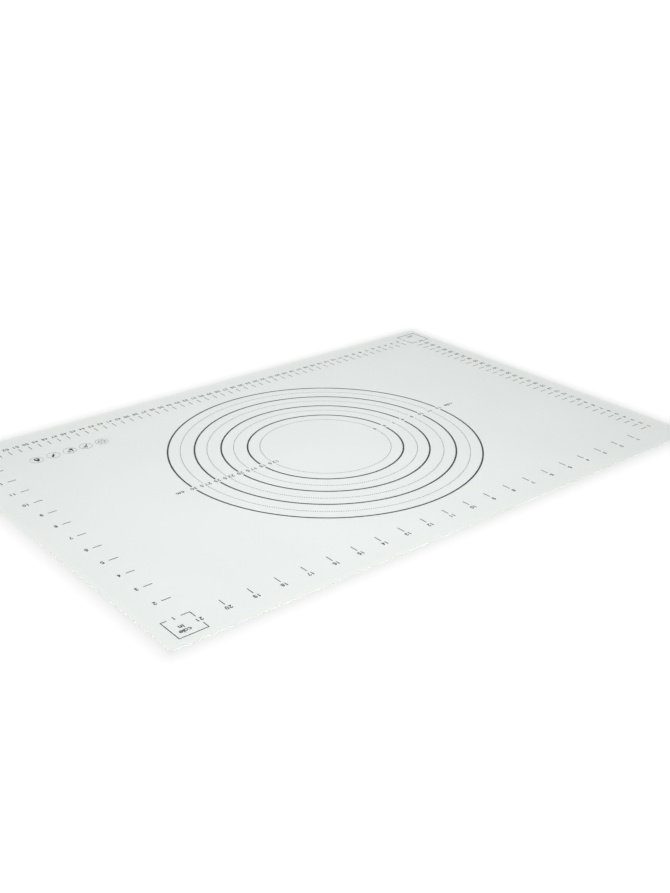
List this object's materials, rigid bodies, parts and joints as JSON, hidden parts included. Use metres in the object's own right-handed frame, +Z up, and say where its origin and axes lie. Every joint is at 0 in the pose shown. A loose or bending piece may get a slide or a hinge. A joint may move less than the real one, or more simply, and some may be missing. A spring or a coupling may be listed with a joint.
{
  "type": "baking mat",
  "caption": "Flat pale silicone baking mat with printed dough rings, inch and centimetre scales on its edges and a row of small care symbols.",
  "frame": {"origin": "middle of the mat's underside", "axes": "+X along the long side, to the right of someone who reads the print, +Y towards the top of the print, +Z up out of the printed face"},
  "size_m": [0.6, 0.4, 0.0009],
  "materials": {
    "silicone": "satin, slightly translucent",
    "glass_cloth": "plain weave",
    "print_ink": "satin"
  },
  "bodies": {
    "root": {"underside_coat": "silicone", "glass_cloth_core": "glass_cloth", "top_coat": "silicone", "solid_ring_1": "print_ink", "solid_ring_2": "print_ink", "solid_ring_3": "print_ink", "solid_ring_4": "print_ink", "dashed_ring_1": "print_ink", "dashed_ring_2": "print_ink", "dashed_ring_3": "print_ink", "dashed_ring_4": "print_ink", "ring_labels_cm": "print_ink", "ring_labels_inch": "print_ink", "long_inch_ticks": "print_ink", "long_inch_numbers": "print_ink", "short_inch_ticks": "print_ink", "short_inch_numbers": "print_ink", "long_cm_ticks": "print_ink", "long_cm_numbers": "print_ink", "short_cm_ticks": "print_ink", "short_cm_numbers": "print_ink", "inch_corner_box": "print_ink", "inch_corner_words": "print_ink", "cm_corner_box": "print_ink", "cm_corner_word": "print_ink", "symbol_1": "print_ink", "symbol_2": "print_ink", "symbol_3": "print_ink", "symbol_4": "print_ink", "symbol_5": "print_ink"}
  },
  "joints": []
}
